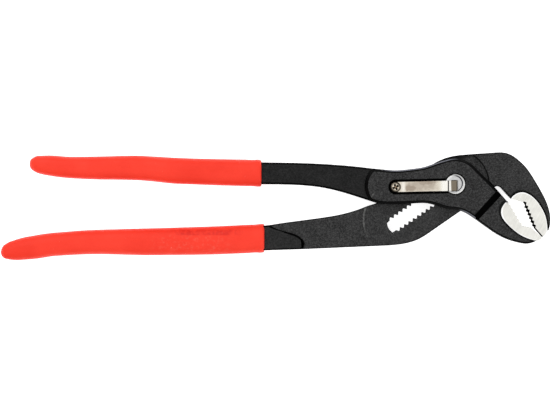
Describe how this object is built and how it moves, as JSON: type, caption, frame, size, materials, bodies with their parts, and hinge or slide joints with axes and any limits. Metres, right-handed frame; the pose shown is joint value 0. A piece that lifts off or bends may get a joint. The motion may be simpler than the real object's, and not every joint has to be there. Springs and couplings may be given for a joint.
{
  "type": "tongue and groove pliers",
  "caption": "Push-button tongue and groove pliers: one handle's toothed slot slides and turns in the other's box, red dipped grips.",
  "frame": {"origin": "on the pivot axis, in the rear plane that the closed tool rests on", "axes": "+X along the tool from the grips towards the jaws, +Y towards the box handle, +Z out of the front cheek, along the pivot"},
  "size_m": [0.2999, 0.059, 0.0155],
  "materials": {
    "black_forging": "black oxide, satin, fine speckle",
    "red_dip": "dipped vinyl, soft gloss",
    "ground_steel": "ground bright",
    "spring_steel": "nickel plated, bright",
    "screw_steel": "nickel plated, warm",
    "inner_steel": "hardened, oiled"
  },
  "bodies": {
    "slot_side": {"slot_handle": "black_forging", "slot_grip": "red_dip"},
    "pivot": {"pivot_bolt": "inner_steel", "bolt_ring": "inner_steel"},
    "box_side": {"box_handle": "black_forging", "box_grip": "red_dip", "leaf_spring": "spring_steel", "spring_screw": "screw_steel"},
    "button": {"lock_button": "ground_steel"},
    "key": {"lock_key": "inner_steel"}
  },
  "joints": [
    {"name": "jaw_adjust", "type": "slide", "parent": "slot_side", "child": "pivot", "axis": [-0.8207, -0.5714, 0], "range_m": [0, 0.03444]},
    {"name": "handle_pivot", "type": "hinge", "parent": "pivot", "child": "box_side", "pos_m": [0, 0, 0.0075], "axis": [0, 0, -1], "range_deg": [0, 40]},
    {"name": "button_press", "type": "slide", "parent": "box_side", "child": "button", "axis": [0, 0, -1], "range_m": [0, 0.0017], "stiffness_N_per_m": 1500, "deforming": ["leaf_spring"]},
    {"name": "key_slide", "type": "slide", "parent": "pivot", "child": "key", "axis": [0, 0, -1], "range_m": [0, 0.0017]}
  ],
  "couplings": [
    {"joint": "key_slide", "follows": "button_press", "ratio": 1}
  ]
}
